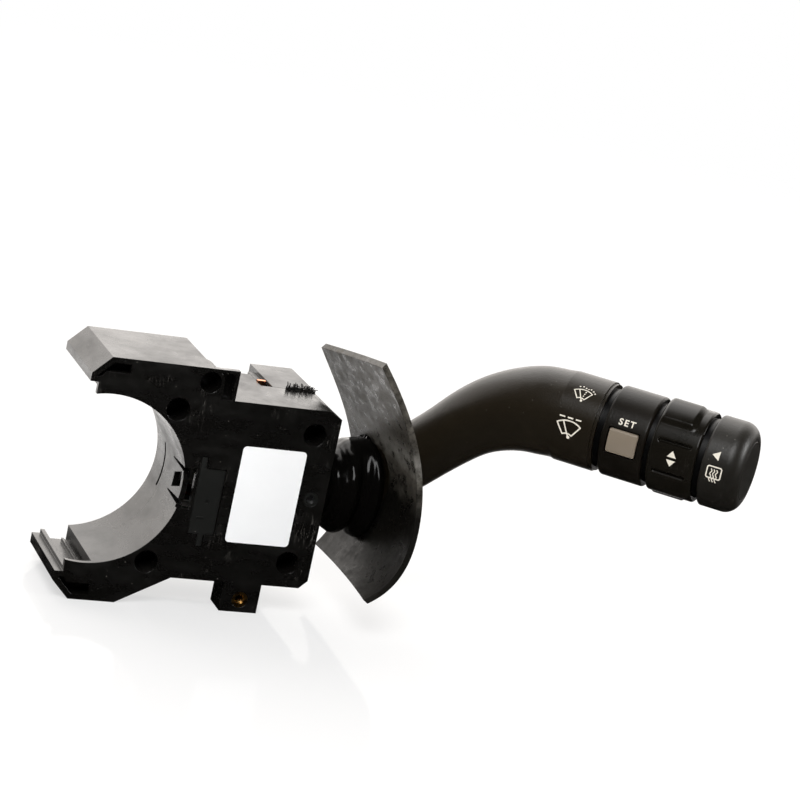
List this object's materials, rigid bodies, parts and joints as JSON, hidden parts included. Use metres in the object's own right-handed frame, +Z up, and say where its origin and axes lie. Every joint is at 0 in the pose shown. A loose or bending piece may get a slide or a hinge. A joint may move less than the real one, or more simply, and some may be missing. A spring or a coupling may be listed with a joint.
{
  "type": "combination stalk switch",
  "caption": "Steering column wiper stalk switch: saddle-shaped housing with a lifting and pulling lever, turning ring and push buttons.",
  "frame": {"origin": "on the steering column's axis, half-way through the housing's depth", "axes": "+Y along the column, away from the driver; +X from the column to the stalk; +Z up when fitted"},
  "size_m": [0.1847, 0.1055, 0.0888],
  "materials": {
    "housing_plastic": "smooth moulded, satin",
    "cover_plastic": "ribbed, satin",
    "label_film": "smooth white film",
    "brass": "knurled",
    "copper": "bright strip",
    "steel": "ground",
    "zinc_screw": "zinc plated",
    "inner_plastic": "natural moulded",
    "track_plastic": "natural moulded",
    "board": "green laminate",
    "boot_rubber": "glossy rubber",
    "seal_foam": "torn fibrous strip",
    "grip_plastic": "fine grain",
    "shroud_plastic": "satin, stained inside",
    "ring_plastic": "polished black",
    "button_plastic": "warm grey satin",
    "loom_sheath": "smooth sheath",
    "switch_body": "moulded"
  },
  "bodies": {
    "housing": {"front_shell": "housing_plastic", "rear_cover": "housing_plastic", "cover_screws": "zinc_screw", "contact_cover": "cover_plastic", "label_plate": "label_film", "brass_insert": "brass", "pivot_bushes": "cover_plastic", "connector_shroud": "housing_plastic", "terminal_pins": "brass", "copper_contact": "copper", "torn_seal_strip": "seal_foam", "circuit_board": "board", "contact_tracks": "copper", "slider_guide": "inner_plastic", "detent_track": "track_plastic", "dust_boot": "boot_rubber"},
    "cradle": {"lever_cradle": "inner_plastic", "lift_pins": "steel", "pull_pin": "steel", "detent_plunger": "inner_plastic", "detent_spring": "steel", "pull_return_spring": "steel"},
    "slider": {"contact_slider": "inner_plastic", "slider_contacts": "brass"},
    "lever": {"lever_core": "inner_plastic", "stalk_grip": "grip_plastic", "shroud": "shroud_plastic", "stalk_loom": "loom_sheath", "loom_plug": "switch_body", "spindle_tube": "inner_plastic", "button_band": "grip_plastic", "button_board": "board", "tact_switches": "switch_body", "ring_detent_ball": "steel", "ring_detent_spring": "steel", "end_cap": "grip_plastic", "end_button_spring": "steel"},
    "ring": {"rotary_ring": "ring_plastic"},
    "side_button": {"set_button": "button_plastic"},
    "tip_button": {"end_button": "grip_plastic"}
  },
  "joints": [
    {"name": "lift", "type": "hinge", "parent": "housing", "child": "cradle", "pos_m": [0.0636, 0.003, 0], "axis": [0, -1, 0], "range_deg": [-7, 14], "deforming": ["dust_boot"]},
    {"name": "pull", "type": "hinge", "parent": "cradle", "child": "lever", "pos_m": [0.06, 0.003, 0], "axis": [0, 0, -1], "range_deg": [0, 7], "stiffness_Nm_per_rad": 0.8, "springref_deg": -5.73, "deforming": ["dust_boot", "pull_return_spring"]},
    {"name": "contact_slide", "type": "slide", "parent": "housing", "child": "slider", "axis": [0, 0, -1], "range_m": [-0.0021, 0.0042]},
    {"name": "ring_turn", "type": "hinge", "parent": "lever", "child": "ring", "pos_m": [0.1447, -0.04645, 0.0384], "axis": [0.7372, -0.6757, 0], "range_deg": [-15, 15], "stiffness_Nm_per_rad": 0.05},
    {"name": "side_push", "type": "slide", "parent": "lever", "child": "side_button", "axis": [0.6757, 0.7372, 0], "range_m": [0, 0.0008], "stiffness_N_per_m": 300, "springref_m": -0.002},
    {"name": "tip_push", "type": "slide", "parent": "lever", "child": "tip_button", "axis": [-0.7372, 0.6757, 0], "range_m": [0, 0.0012], "stiffness_N_per_m": 400, "springref_m": -0.002, "deforming": ["end_button_spring"]}
  ],
  "couplings": [
    {"joint": "contact_slide", "follows": "lift", "m_per_rad": 0.017}
  ]
}
